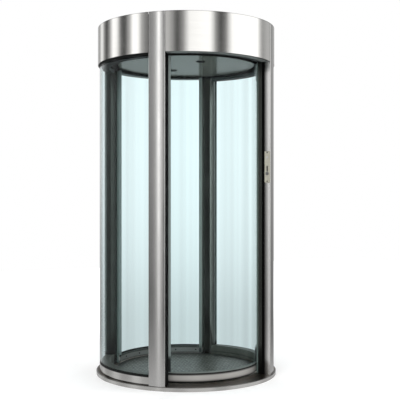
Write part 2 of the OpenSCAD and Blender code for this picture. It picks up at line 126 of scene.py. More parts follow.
# strip lights and dark flags round the object: degrees from the heading, level
leftStrips = [
    (-180, 0.35), (-163, 0.35), (-154, 0.25), (-148, 0.30), (-143, 0.60), (-139, 0.75),
    (-134, 0.45), (-130, 0.20), (-123, 0.05), (-116, 0.20), (-111, 0.55), (-107, 0.95),
    (-99, 0.85), (-95, 0.40), (-91, 0.10), (-84, 0.05), (-77, 0.30), (-70, 1.00), (-64, 0.95),
    (-57, 0.30), (-49, 0.10), (-41, 0.25), (-37, 0.45), (-35, 1.25), (-33, 0.90), (-30, 0.05),
    (-27, 0.05), (-24, 0.50), (-19, 0.30), (-11, 0.05), (-4, 0.20), (0, 0.50),
]
rightStrips = [
    (0, 0.50), (4, 0.85), (30, 0.95), (34, 0.60), (38, 0.20), (44, 0.05), (51, 0.15),
    (56, 0.60), (60, 0.95), (103, 1.00), (107, 0.65), (110, 0.40), (116, 0.25), (120, 0.30),
    (127, 0.35), (133, 0.35), (140, 0.25), (146, 0.20), (152, 0.25), (161, 0.30), (180, 0.35),
]
# what the dark liners inside the glass mirror
leftRoomStrips = [
    (-180, 0.6), (-140, 0.5), (-60, 0.3), (-44, 0.12), (-38, 0.03), (-26, 0.03), (-19, 0.65),
    (0, 1.25),
]
rightRoomStrips = [
    (0, 1.25), (30, 1.35), (62, 0.50), (98, 0.20), (130, 0.5), (143, 0.6), (180, 0.6),
]
# level of the strip lights by the sine of the height above the horizon
stripFade = [
    (-0.70, 0.42), (-0.20, 0.42), (-0.17, 0.44), (-0.12, 0.56), (-0.075, 0.65), (-0.025, 0.76),
    (0.03, 0.88), (0.12, 1.0), (0.30, 1.0),
]
# level of the backdrop behind the glass, by the same sine
backdropFade = [
    (-0.70, 0.90), (-0.60, 0.90), (-0.30, 0.76), (-0.18, 0.68), (-0.148, 0.70), (-0.124, 0.74),
    (-0.10, 0.80), (-0.075, 0.86), (-0.05, 0.905), (-0.025, 0.94), (0.0, 0.965), (0.06, 1.0),
    (0.30, 1.0),
]


def buildWorld():
    world = bpy.data.worlds.new("studio")
    bpy.context.scene.world = world
    world.use_nodes = True
    tree = world.node_tree
    tree.nodes.clear()
    heading = math.radians(studio["heading"])
    ahead = (math.cos(heading), math.sin(heading), 0)
    aside = (-math.sin(heading), math.cos(heading), 0)
    towards = addNode(tree, "ShaderNodeTexCoord").outputs["Generated"]
    along = addNode(tree, "ShaderNodeVectorMath", {"operation": "DOT_PRODUCT"},
                    {0: towards, 1: ahead})
    across = addNode(tree, "ShaderNodeVectorMath", {"operation": "DOT_PRODUCT"},
                     {0: towards, 1: aside})
    turn = addNode(tree, "ShaderNodeMath", {"operation": "ARCTAN2"},
                   {0: across.outputs["Value"], 1: along.outputs["Value"]}).outputs[0]
    height = addNode(tree, "ShaderNodeSeparateXYZ", {}, {0: towards}).outputs["Z"]
    ray = addNode(tree, "ShaderNodeLightPath").outputs

    def halfCircle(stops):
        # half a turn to a ramp, because one ramp is too coarse for the whole circle
        return levelAlong(tree, turn, [(math.radians(at), level) for at, level in stops], "EASE")

    def stripLight(leftStops, rightStops, level):
        onRight = addNode(tree, "ShaderNodeMath", {"operation": "GREATER_THAN"},
                          {0: turn, 1: 0.0})
        both = addNode(tree, "ShaderNodeMix", {"data_type": "FLOAT"},
                       {0: onRight.outputs[0], numberA: halfCircle(leftStops),
                        numberB: halfCircle(rightStops)})
        return addNode(tree, "ShaderNodeMath", {"operation": "MULTIPLY"},
                       {0: both.outputs[0], 1: level}).outputs[0]

    # what steel mirrors: strips round the object, a soft light above, a pale floor below
    inside = addNode(tree, "ShaderNodeMath", {"operation": "GREATER_THAN"},
                     {0: ray["Transmission Depth"], 1: 0.5})
    strips = addNode(tree, "ShaderNodeMix", {"data_type": "FLOAT"},
                     {0: inside.outputs[0],
                      numberA: stripLight(leftStrips, rightStrips, studio["strips"]),
                      numberB: stripLight(leftRoomStrips, rightRoomStrips, studio["roomStrips"])})
    stripLevel = addNode(tree, "ShaderNodeMath", {"operation": "MULTIPLY"},
                         {0: strips.outputs[0], 1: levelAlong(tree, height, stripFade)})
    mirrored = stripLevel
    for rise, glow in (("overheadRise", "overhead"), ("floorRise", "floorGlow")):
        start, full = studio[rise]
        share = addNode(tree, "ShaderNodeMapRange", {"interpolation_type": "SMOOTHSTEP"},
                        {"Value": height, "From Min": start, "From Max": full})
        mirrored = addNode(tree, "ShaderNodeMix", {"data_type": "FLOAT"},
                           {0: share.outputs[0], numberA: mirrored.outputs[0],
                            numberB: studio[glow]})

    # what shows through glass: a folded backdrop that darkens towards the floor
    folds = addNode(tree, "ShaderNodeTexNoise", {"noise_dimensions": "1D"},
                    {"W": turn, "Scale": studio["foldScale"], "Detail": 2.0, "Roughness": 0.6})
    folded = addNode(tree, "ShaderNodeMapRange", {},
                     {"Value": folds.outputs["Fac"], **noiseRange,
                      "To Min": 1 - studio["folds"], "To Max": 1 + studio["folds"]})
    behind = addNode(tree, "ShaderNodeMath", {"operation": "MULTIPLY"},
                     {0: levelAlong(tree, height, backdropFade), 1: folded.outputs[0]})

    reflected = addNode(tree, "ShaderNodeMath", {"operation": "GREATER_THAN"},
                        {0: ray["Glossy Depth"], 1: 0.5})
    level = addNode(tree, "ShaderNodeMix", {"data_type": "FLOAT"},
                    {0: ray["Is Transmission Ray"], numberA: studio["fill"],
                     numberB: behind.outputs[0]})
    level = addNode(tree, "ShaderNodeMix", {"data_type": "FLOAT"},
                    {0: reflected.outputs[0], numberA: level.outputs[0],
                     numberB: mirrored.outputs[0]})
    level = addNode(tree, "ShaderNodeMix", {"data_type": "FLOAT"},
                    {0: ray["Is Camera Ray"], numberA: level.outputs[0], numberB: 1.0})
    light = addNode(tree, "ShaderNodeBackground", {},
                    {"Color": (1, 1, 1, 1), "Strength": level.outputs[0]})
    addNode(tree, "ShaderNodeOutputWorld", {}, {"Surface": light.outputs[0]})


softLamps = {
    "keyLamp": {"place": (-5.0, -5.5, 4.2), "size": 4.0, "power": 220},
    "fillLamp": {"place": (5.0, -3.5, 3.0), "size": 4.0, "power": 90},
    "rearLamp": {"place": (1.5, 6.0, 4.5), "size": 4.0, "power": 90},
}
lampAim = (0, 0, 1.1)   # about the middle of the portal


def addLamps():
    for name, lamp in softLamps.items():
        data = bpy.data.lights.new(name, "AREA")
        data.shape = "DISK"
        data.size = lamp["size"]
        data.energy = lamp["power"]
        lampObject = bpy.data.objects.new(name, data)
        place = Vector(lamp["place"])
        lampObject.location = place
        lampObject.rotation_euler = (Vector(lampAim) - place).to_track_quat("-Z", "Y").to_euler()
        lampObject.visible_glossy = False
        lampObject.visible_transmission = False
        bpy.context.scene.collection.objects.link(lampObject)


floorLook = {
    "size": 16, "colour": "#f4f4f4",
    "glow": 0.15, "farGlow": 0.7,   # how pale it is by itself, near the portal and far off
    "farFrom": (1.3, 3.5),          # metres, where near ends and where far begins
}


def addFloor():
    mesh = bpy.data.meshes.new("studioFloor")
    half = floorLook["size"] / 2
    corners = [(-half, -half, 0), (half, -half, 0), (half, half, 0), (-half, half, 0)]
    mesh.from_pydata(corners, [], [(0, 1, 2, 3)])
    floor = bpy.data.objects.new("studioFloor", mesh)
    bpy.context.scene.collection.objects.link(floor)
    material, tree = startMaterial("paleStudioFloor")   # matt white sweep: only a faint shadow
    ray = addNode(tree, "ShaderNodeLightPath").outputs
    matt = addNode(tree, "ShaderNodeBsdfDiffuse", {}, {"Color": toLinear(floorLook["colour"])})
    place = addNode(tree, "ShaderNodeTexCoord").outputs["Object"]
    away = addNode(tree, "ShaderNodeVectorMath", {"operation": "LENGTH"}, {0: place})
    nearest, farthest = floorLook["farFrom"]
    level = addNode(tree, "ShaderNodeMapRange", {},
                    {"Value": away.outputs["Value"], "From Min": nearest, "From Max": farthest,
                     "To Min": floorLook["glow"], "To Max": floorLook["farGlow"]})
    glow = addNode(tree, "ShaderNodeMath", {"operation": "MULTIPLY"},
                   {0: ray["Is Camera Ray"], 1: level.outputs[0]})
    lit = addNode(tree, "ShaderNodeEmission", {}, {"Strength": glow.outputs[0]})
    both = addNode(tree, "ShaderNodeAddShader", {}, {0: matt.outputs[0], 1: lit.outputs[0]})
    # mirrors and glass look past the floor to the world's own pale one
    clear = addNode(tree, "ShaderNodeBsdfTransparent")
    passing = addNode(tree, "ShaderNodeMath", {"operation": "MAXIMUM"},
                      {0: ray["Is Glossy Ray"], 1: ray["Is Transmission Ray"]})
    mixed = addNode(tree, "ShaderNodeMixShader", {},
                    {0: passing.outputs[0], 1: both.outputs[0], 2: clear.outputs[0]})
    finishMaterial(tree, mixed)
    mesh.materials.append(material)


buildWorld()
addLamps()
addFloor()
print("portal: studio ready")


def stretchedNoise(tree, size, detail, roughness=0.55):
    # noise whose grain has these real sizes along x, y and z, in metres
    place = addNode(tree, "ShaderNodeTexCoord").outputs["Object"]
    scaled = addNode(tree, "ShaderNodeMapping", {},
                     {"Vector": place, "Scale": [1 / s for s in size]})
    return addNode(tree, "ShaderNodeTexNoise", {},
                   {"Vector": scaled.outputs[0], "Scale": 1.0, "Detail": detail,
                    "Roughness": roughness}).outputs["Fac"]


def fromAxis(tree):
    # distance from the upright axis of the portal
    place = addNode(tree, "ShaderNodeTexCoord").outputs["Object"]
    flat = addNode(tree, "ShaderNodeVectorMath", {"operation": "MULTIPLY"},
                   {0: place, 1: (1, 1, 0)})
    return addNode(tree, "ShaderNodeVectorMath", {"operation": "LENGTH"},
                   {0: flat.outputs[0]}).outputs["Value"]


def aboveFloor(tree):
    place = addNode(tree, "ShaderNodeTexCoord").outputs["Object"]
    return addNode(tree, "ShaderNodeSeparateXYZ", {}, {0: place}).outputs["Z"]


def sideShare(tree):
    # 1 in the quarters of the side walls, 0 in those of the doorways
    place = addNode(tree, "ShaderNodeTexCoord").outputs["Object"]
    parts = addNode(tree, "ShaderNodeVectorMath", {"operation": "ABSOLUTE"}, {0: place})
    axes = addNode(tree, "ShaderNodeSeparateXYZ", {}, {0: parts.outputs[0]}).outputs
    return addNode(tree, "ShaderNodeMath", {"operation": "GREATER_THAN"},
                   {0: axes["X"], 1: axes["Y"]}).outputs[0]


def toneAlong(tree, tone, value, stops):
    # multiplies a colour by levels given at places along a value, in metres
    return addNode(tree, "ShaderNodeMix", {"data_type": "RGBA", "blend_type": "MULTIPLY"},
                   {0: 1.0, colourA: tone,
                    colourB: levelAlong(tree, value, stops)}).outputs[mixedColour]


def bandedTone(tree, look, noise):
    # the two colours of a finish in its own pattern, with its levels by radius and by height
    share = addNode(tree, "ShaderNodeMapRange", {}, {"Value": noise, **noiseRange})
    tone = addNode(tree, "ShaderNodeMix", {"data_type": "RGBA"},
                   {0: share.outputs[0], colourA: toLinear(look["dark"]),
                    colourB: toLinear(look["light"])}).outputs[mixedColour]
    if "byRadius" in look:
        tone = toneAlong(tree, tone, fromAxis(tree), look["byRadius"])
    if "byHeight" in look:
        tone = toneAlong(tree, tone, aboveFloor(tree), look["byHeight"])
    return tone


steelWear = {
    "cloud": (0.18, 0.18, 0.25),   # metres, size of the slow changes in the polish
    "cloudRough": 0.02,            # change of roughness in them, up and down
    "grainDepth": 0.0002,          # metres
    "dullFade": 0.006,             # metres, from the bright part to the dull one
}


def steelFinish(name, look):
    material, tree = startMaterial(name)
    grain = stretchedNoise(tree, look["grain"], detail=4.0)
    clouds = stretchedNoise(tree, steelWear["cloud"], detail=2.0)
    fine = addNode(tree, "ShaderNodeMapRange", {},
                   {"Value": grain, **noiseRange,
                    "To Min": -look["grainRough"], "To Max": look["grainRough"]})
    slow = addNode(tree, "ShaderNodeMapRange", {},
                   {"Value": clouds, **noiseRange,
                    "To Min": look["rough"] - steelWear["cloudRough"],
                    "To Max": look["rough"] + steelWear["cloudRough"]})
    wear = addNode(tree, "ShaderNodeMath", {"operation": "ADD"},
                   {0: fine.outputs[0], 1: slow.outputs[0]})
    bump = addNode(tree, "ShaderNodeBump", {},
                   {"Strength": look["bump"], "Distance": steelWear["grainDepth"],
                    "Height": grain})
    metal = look.get("metal", 1.0)
    if "dullFrom" in look:
        # the brushing is coarser, so the steel is duller, from this radius out to the bend
        first, last, share = look["dullFrom"]
        radius = fromAxis(tree)
        past = addNode(tree, "ShaderNodeMapRange", {},
                       {"Value": radius, "From Min": first,
                        "From Max": first + steelWear["dullFade"]})
        short = addNode(tree, "ShaderNodeMath", {"operation": "LESS_THAN"}, {0: radius, 1: last})
        both = addNode(tree, "ShaderNodeMath", {"operation": "MULTIPLY"},
                       {0: past.outputs[0], 1: short.outputs[0]})
        metal = addNode(tree, "ShaderNodeMapRange", {},
                        {"Value": both.outputs[0], "To Min": 1.0, "To Max": share}).outputs[0]
    shader = addNode(tree, "ShaderNodeBsdfPrincipled", {},
                     {"Base Color": bandedTone(tree, look, grain), "Metallic": metal,
                      "Roughness": wear.outputs[0], "Normal": bump.outputs[0]})
    finishMaterial(tree, shader)
    return material


# dark line along the upper edge of the posts and the canopy
roofLine = [(2.320, 1.0), (2.3255, 1.0), (2.3285, 0.45), (2.332, 0.45)]
# brushed stainless steel of the posts: bright, with clear soft-edged bands; on the doorway
# sides the colour is painted shade at the inner edge, rising to a painted highlight at the outer
# one, with a dark painted reflection along the bend. The brushing runs upright and is drawn
# 1.2 mm wide, here and on the round parts, because real lines are too fine to show.
postSteel = steelFinish("brushedStainlessUpright", {
    "grain": (0.0012, 0.0012, 0.16), "dark": "#f9f8f6", "light": "#fffefc",
    "rough": 0.13, "grainRough": 0.02, "bump": 0.05, "dullFrom": (0.580, 0.5965, 0.75),
    "byRadius": [(0.558, 0.14), (0.565, 0.26), (0.572, 0.50), (0.580, 0.80), (0.588, 0.92),
                 (0.5955, 0.92), (0.5975, 0.55), (0.5995, 0.66), (0.602, 0.66)],
    "byHeight": roofLine})
# the same steel, brushed round the portal and a little greyer
roundBrushing = {
    "grain": (0.16, 0.16, 0.0012), "dark": "#cdccc9", "light": "#d6d5d2",
    "rough": 0.13, "grainRough": 0.02, "bump": 0.05}
roundSteel = steelFinish("brushedStainlessRound", {**roundBrushing, "byHeight": roofLine})
# the same on the ring round the floor, with its upper edge painted dark: painted shadow under the
# rails
ringSteel = steelFinish("brushedStainlessRing", {
    **roundBrushing,
    "byHeight": [(0.018, 1.0), (0.0215, 1.0), (0.0235, 0.25), (0.027, 0.25)]})
# the same on the rails under the side walls, painted dark as painted shade where the glass
# stands in them and along the joint with the floor
sideRailSteel = steelFinish("brushedStainlessSideRail", {
    **roundBrushing,
    "byHeight": [(0.028, 0.30), (0.031, 0.30), (0.033, 1.0), (0.0735, 1.0), (0.0775, 0.06),
                 (0.084, 0.06)]})
# satin stainless steel of the door rails: blasted, so nearly matt; painted shade darkens the
# side that faces into the cabin and paints both edges black
satinSteel = steelFinish("satinStainless", {
    "grain": (0.10, 0.10, 0.0015), "dark": "#b3b1ad", "light": "#bdbbb7",
    "rough": 0.35, "grainRough": 0.03, "bump": 0.06, "metal": 0.35,
    "byRadius": [(0.476, 0.48), (0.485, 0.48), (0.487, 1.0), (0.496, 1.0)],
    "byHeight": [(0.037, 0.10), (0.041, 0.40), (0.046, 0.85), (0.051, 1.0), (0.0715, 1.0),
                 (0.0765, 0.55), (0.0795, 0.12), (0.084, 0.06)]})
# stainless steel of the rim round the mat: rough, and coloured nearly black as painted shadow
rimSteelPaintedShadow = steelFinish("rimStainlessPaintedShadow", {
    "grain": (0.10, 0.10, 0.0015), "dark": "#2b2e2c", "light": "#343735",
    "rough": 0.32, "grainRough": 0.03, "bump": 0.06})
# rolled dark steel sheet of the base: brown-grey scale, scuffed along the way through and
# paler from 0.50 to 0.52 m out from the axis; the scuffs are drawn coarser than real ones,
# which are too fine to show
darkSheet = steelFinish("darkRolledSteel", {
    "grain": (0.013, 0.045, 0.013), "dark": "#1d1a16", "light": "#675f55",
    "rough": 0.42, "grainRough": 0.08, "bump": 0.15,
    "byRadius": [(0.500, 2.2), (0.520, 2.2), (0.530, 1.0), (0.610, 1.0)]})
# zinc-plated steel of the hangers and the roof screws: pale grey and softly mottled
zincSteel = steelFinish("zincPlatedSteel", {
    "grain": (0.004, 0.004, 0.004), "dark": "#8f9294", "light": "#a6a8a8",
    "rough": 0.32, "grainRough": 0.05, "bump": 0.08})
# blackened steel of the screws: oiled, so softly shiny
blackSteel = steelFinish("blackenedSteel", {
    "grain": (0.003, 0.003, 0.003), "dark": "#2b2b2b", "light": "#3a3a39",
    "rough": 0.35, "grainRough": 0.05, "bump": 0.08})
# nickel-plated brass of the lock plate: warm pale metal, darker round the rim
lockNickel = steelFinish("satinNickel", {
    "grain": (0.03, 0.03, 0.0012), "dark": "#e9e4d2", "light": "#f6f2e2",
    "rough": 0.42, "grainRough": 0.04, "bump": 0.06,
    "byHeight": [(1.283, 0.35), (1.289, 1.0), (1.487, 1.0), (1.493, 0.35)]})
# the lock's fittings, from below: key cylinder, dark handle slot, bright push button
lockChrome = steelFinish("lockFittingSteel", {
    "grain": (0.002, 0.002, 0.002), "dark": "#f0efea", "light": "#ffffff",
    "rough": 0.30, "grainRough": 0.05, "bump": 0.08,
    "byHeight": [(1.330, 0.30), (1.357, 0.30), (1.3575, 0.05), (1.398, 0.05), (1.400, 1.0),
                 (1.460, 1.0)]})


# the fine textures are 1 to 4 mm across, because moulded grain and grit are too fine to show
smoothWear = {
    "cloudRough": 0.03,        # change of roughness in the clouds, up and down
    "textureDepth": 0.0003,    # metres
}


def smoothFinish(name, look):
    # moulded, painted or anodised: one colour with a slight cloud in it and a fine texture
    material, tree = startMaterial(name)
    fine = look["texture"]
    clouds = stretchedNoise(tree, (look["cloud"],) * 3, detail=2.0)
    texture = stretchedNoise(tree, (fine, fine, look.get("upright", fine)), detail=2.0)
    tone = bandedTone(tree, look, clouds)
    if "core" in look:
        radius, colour = look["core"]
        within = addNode(tree, "ShaderNodeMath", {"operation": "LESS_THAN"},
                         {0: fromAxis(tree), 1: radius})
        tone = addNode(tree, "ShaderNodeMix", {"data_type": "RGBA"},
                       {0: within.outputs[0], colourA: tone,
                        colourB: toLinear(colour)}).outputs[mixedColour]
    if "sides" in look:
        tone = addNode(tree, "ShaderNodeMix", {"data_type": "RGBA"},
                       {0: sideShare(tree), colourA: tone,
                        colourB: toLinear(look["sides"])}).outputs[mixedColour]
    gloss = addNode(tree, "ShaderNodeMapRange", {},
                    {"Value": clouds, **noiseRange,
                     "To Min": look["rough"] - smoothWear["cloudRough"],
                     "To Max": look["rough"] + smoothWear["cloudRough"]})
    bump = addNode(tree, "ShaderNodeBump", {},
                   {"Strength": look["bump"], "Distance": smoothWear["textureDepth"],
                    "Height": texture})
    shader = addNode(tree, "ShaderNodeBsdfPrincipled", {},
                     {"Base Color": tone, "Metallic": look.get("metal", 0.0),
                      "Roughness": gloss.outputs[0], "IOR": look.get("ior", 1.5),
                      "Normal": bump.outputs[0]})
    finishMaterial(tree, shader)
    return material


# anodised aluminium of the liners: dark metal with a silky sheen and faint lines along the
# profile; the liners of the posts that the doors slide past are a darker copy of it, painted
# shade, darker still across the middle of their sides and towards the floor
closingAnodised = smoothFinish("greyAnodisedAluminium", {
    "dark": "#6e6f6a", "light": "#787974", "cloud": 0.40, "texture": 0.0015, "upright": 0.6,
    "rough": 0.20, "metal": 1.0, "bump": 0.01})
trailingAnodisedPaintedShade = smoothFinish("anodisedAluminiumPaintedShade", {
    "dark": "#4f534e", "light": "#575b56", "cloud": 0.40, "texture": 0.0015, "upright": 0.6,
    "rough": 0.22, "metal": 0.85, "bump": 0.01,
    "byRadius": [(0.514, 1.0), (0.518, 1.0), (0.523, 0.55), (0.548, 0.55), (0.575, 1.0)],
    "byHeight": [(0.030, 0.15), (0.180, 0.35), (0.230, 1.0)]})
# black anodising of the doors' top rails: the dyed oxide on top is what shows, so it is dark
# and satin and isn't shaded as bare metal
blackAnodised = smoothFinish("blackAnodisedAluminium", {
    "dark": "#1c1d1e", "light": "#232425", "cloud": 0.12, "texture": 0.0015,
    "rough": 0.36, "ior": 1.35, "bump": 0.10})
# head profiles over the side glass, dyed as well: satin grey towards the cabin, black behind
headAnodised = smoothFinish("satinFacedAluminium", {
    "dark": "#4c5251", "light": "#555b5a", "cloud": 0.30, "texture": 0.0015,
    "rough": 0.5, "ior": 1.3, "bump": 0.05,
    "byRadius": [(0.519, 1.0), (0.524, 1.0), (0.528, 0.02), (0.580, 0.02)]})
# joints round the side glass: milky grey silicone at its ends, black along its top and bottom
jointSilicone = smoothFinish("siliconeJoint", {
    "dark": "#7f8886", "light": "#8a9391", "cloud": 0.05, "texture": 0.002,
    "rough": 0.6, "ior": 1.25, "bump": 0.1,
    "byHeight": [(0.0, 0.03), (0.104, 0.03), (0.120, 1.0), (2.035, 1.0), (2.050, 0.03),
                 (2.100, 0.03)]})
# EPDM rubber of the door gaskets: dead black and dull; the grey band on the front lower ones
# and the grey foot of the back ones are painted highlights
frontRubber = smoothFinish("frontEpdmRubberPaintedHighlight", {
    "dark": "#6b726f", "light": "#757c79", "cloud": 0.05, "texture": 0.002,
    "rough": 0.62, "ior": 1.3, "bump": 0.2,
    "byHeight": [(0.080, 0.03), (0.0885, 0.03), (0.0910, 1.0), (0.104, 1.0), (0.106, 0.03)]})
backRubber = smoothFinish("backEpdmRubberPaintedHighlight", {
    "dark": "#5a5c59", "light": "#646663", "cloud": 0.05, "texture": 0.002,
    "rough": 0.62, "ior": 1.3, "bump": 0.2,
    "byHeight": [(0.080, 1.0), (0.0885, 1.0), (0.0905, 0.10), (0.104, 0.10)]})
# the posts' seals: black sponge rubber, and grey-green brush fibre next to the doors
sealRubber = smoothFinish("spongeRubberAndBrush", {
    "dark": "#040404", "light": "#060606", "cloud": 0.05, "texture": 0.002,
    "rough": 0.8, "ior": 1.2, "bump": 0.3, "core": (0.5152, "#6c7a76")})
# stove-enamelled ceiling: green-grey, smooth enough to mirror the posts at a low angle
ceilingEnamel = smoothFinish("ceilingEnamel", {
    "dark": "#61615a", "light": "#686861", "cloud": 0.30, "texture": 0.004,
    "rough": 0.16, "ior": 1.35, "bump": 0.03})
# powder coat of the roof: mid grey, with the slight orange peel of baked powder
roofCoat = smoothFinish("roofPowderCoat", {
    "dark": "#7d8080", "light": "#878a8a", "cloud": 0.20, "texture": 0.002,
    "rough": 0.5, "bump": 0.25})
# the same on the soffit: dark next to the doors and black over the side glass
soffitCoat = smoothFinish("soffitPowderCoat", {
    "dark": "#6b6f6d", "light": "#757977", "sides": "#0c0d0d", "cloud": 0.20,
    "texture": 0.002, "rough": 0.5, "ior": 1.25, "bump": 0.15,
    "byRadius": [(0.505, 0.03), (0.538, 0.03), (0.542, 1.0), (0.575, 1.0), (0.590, 0.10),
                 (0.600, 0.10)]})
# black powder coat of the beams and the track: dull, so that they keep out of sight
blackCoat = smoothFinish("blackPowderCoat", {
    "dark": "#1d1e1f", "light": "#252627", "cloud": 0.10, "texture": 0.002,
    "rough": 0.45, "bump": 0.2})
# powder-coated sheet of the curbs inside the side walls: even green-grey, darker behind, with
# a dark line of painted shade low down, just above the mat
curbPaint = smoothFinish("curbPowderCoat", {
    "dark": "#52544e", "light": "#5d5f59", "cloud": 0.10, "texture": 0.002,
    "rough": 0.45, "ior": 1.3, "bump": 0.2,
    "byRadius": [(0.519, 1.0), (0.524, 1.0), (0.528, 0.55), (0.580, 0.55)],
    "byHeight": [(0.030, 0.85), (0.041, 0.85), (0.044, 0.45), (0.048, 0.45), (0.051, 0.90),
                 (0.090, 1.0)]})
# moulded ABS of the sensor housings: black, and eroded in the mould so that it doesn't shine
sensorPlastic = smoothFinish("mouldedSensorPlastic", {
    "dark": "#070707", "light": "#0b0b0b", "cloud": 0.03, "texture": 0.001,
    "rough": 0.7, "ior": 1.15, "bump": 0.08})


vinylWear = {
    "cloud": 0.06,         # metres
    "cloudShade": 0.94,    # level of the darkest clouds
    "rough": 0.4,
}


def stripFinish(name, look):
    # extruded vinyl edge strips: opaque grey on the closing edge of a door, milky clear on the
    # other, and darker towards the floor
    material, tree = startMaterial(name)
    place = addNode(tree, "ShaderNodeTexCoord").outputs["Object"]
    parts = addNode(tree, "ShaderNodeSeparateXYZ", {}, {0: place}).outputs
    side = addNode(tree, "ShaderNodeMath", {"operation": "MULTIPLY"},
                   {0: parts["X"], 1: parts["Y"]})
    trailing = addNode(tree, "ShaderNodeMath", {"operation": "LESS_THAN"},
                       {0: side.outputs[0], 1: 0.0})
    clouds = stretchedNoise(tree, (vinylWear["cloud"],) * 3, detail=2.0)
    cloudy = addNode(tree, "ShaderNodeMapRange", {},
                     {"Value": clouds, **noiseRange, "To Min": vinylWear["cloudShade"]})
    tone = addNode(tree, "ShaderNodeMix", {"data_type": "RGBA"},
                   {0: trailing.outputs[0], colourA: toLinear(look["grey"]),
                    colourB: toLinear(look["milky"])})
    shade = addNode(tree, "ShaderNodeMix", {"data_type": "RGBA", "blend_type": "MULTIPLY"},
                    {0: 1.0, colourA: tone.outputs[mixedColour], colourB: cloudy.outputs[0]})
    towardsFloorTone = toneAlong(tree, shade.outputs[mixedColour], aboveFloor(tree), look["byHeight"])
    vinyl = addNode(tree, "ShaderNodeBsdfPrincipled", {},
                    {"Base Color": towardsFloorTone, "Roughness": vinylWear["rough"]})
    clear = addNode(tree, "ShaderNodeBsdfTransparent")
    low, high, least = look["clearFrom"]
    clarity = addNode(tree, "ShaderNodeMapRange", {},
                      {"Value": parts["Z"], "From Min": low, "From Max": high,
                       "To Min": least, "To Max": look["clear"]})
    share = addNode(tree, "ShaderNodeMath", {"operation": "MULTIPLY"},
                    {0: trailing.outputs[0], 1: clarity.outputs[0]})
    mixed = addNode(tree, "ShaderNodeMixShader", {},
                    {0: share.outputs[0], 1: vinyl.outputs[0], 2: clear.outputs[0]})
    finishMaterial(tree, mixed)
    return material


# "clearFrom" gives the heights between which the milky strip clears, and its least clarity
frontVinyl = stripFinish("vinylEdgeStripFront", {
    "grey": "#98a2a0", "milky": "#e6efed", "clear": 0.86, "clearFrom": (0.180, 0.200, 0.10),
    "byHeight": [(0.075, 0.06), (0.175, 0.06), (0.190, 0.40), (0.200, 1.0)]})
# the back strips are a darker copy of the same vinyl: painted shade
backVinyl = stripFinish("vinylEdgeStripBack", {
    "grey": "#88908b", "milky": "#87918f", "clear": 0.18, "clearFrom": (0.080, 0.110, 0.05),
    "byHeight": [(0.040, 0.10), (0.070, 0.30), (0.100, 1.0)]})


def glassFinish(name, look):
    # laminated float glass: clear and faintly blue-green, with hardly a mirror image, which
    # its low index gives; lamps shine through it
    material, tree = startMaterial(name)
    ray = addNode(tree, "ShaderNodeLightPath")
    pane = addNode(tree, "ShaderNodeBsdfPrincipled", {},
                   {"Base Color": toLinear(look["tint"]), "Roughness": 0.0,
                    "IOR": look["ior"], "Transmission Weight": 1.0})
    clear = addNode(tree, "ShaderNodeBsdfTransparent", {}, {"Color": toLinear(look["lampTint"])})
    shader = addNode(tree, "ShaderNodeMixShader", {},
                     {0: ray.outputs["Is Shadow Ray"], 1: pane.outputs[0], 2: clear.outputs[0]})
    finishMaterial(tree, shader)
    return material


doorGlass = glassFinish("laminatedDoorGlass", {
    "tint": "#f2fdfe", "ior": 1.12, "lampTint": "#f6fafa"})
wallGlass = glassFinish("laminatedWallGlass", {
    "tint": "#f4fdfe", "ior": 1.12, "lampTint": "#f6fafa"})


floorMat = {
    "dark": "#272825", "light": "#6b6a64",
    "turns": (38, 12),          # degrees, the two ways that the cords of the weave run
    "pitch": 0.024,             # metres from cord to cord, coarser than the real weave
    "bandAtScaleOne": 0.314,    # metres, what a wave texture repeats at when its scale is 1
    "stray": 1.2,               # how far the cords leave straight lines
    "weaveShare": (-0.29, 0.39),
    "fleck": (0.018, 0.08, 0.018), "fleckShare": (-0.12, 0.96),
    "patch": (0.22, 0.22, 0.22), "patchShare": (-0.12, 0.12),
    "rough": 0.38, "ior": 1.3, "bump": 0.5, "depth": 0.001,
    # darker towards the rim: painted shade
    "byRadius": [(0.40, 1.0), (0.428, 0.90), (0.436, 0.30), (0.466, 0.20)],
}


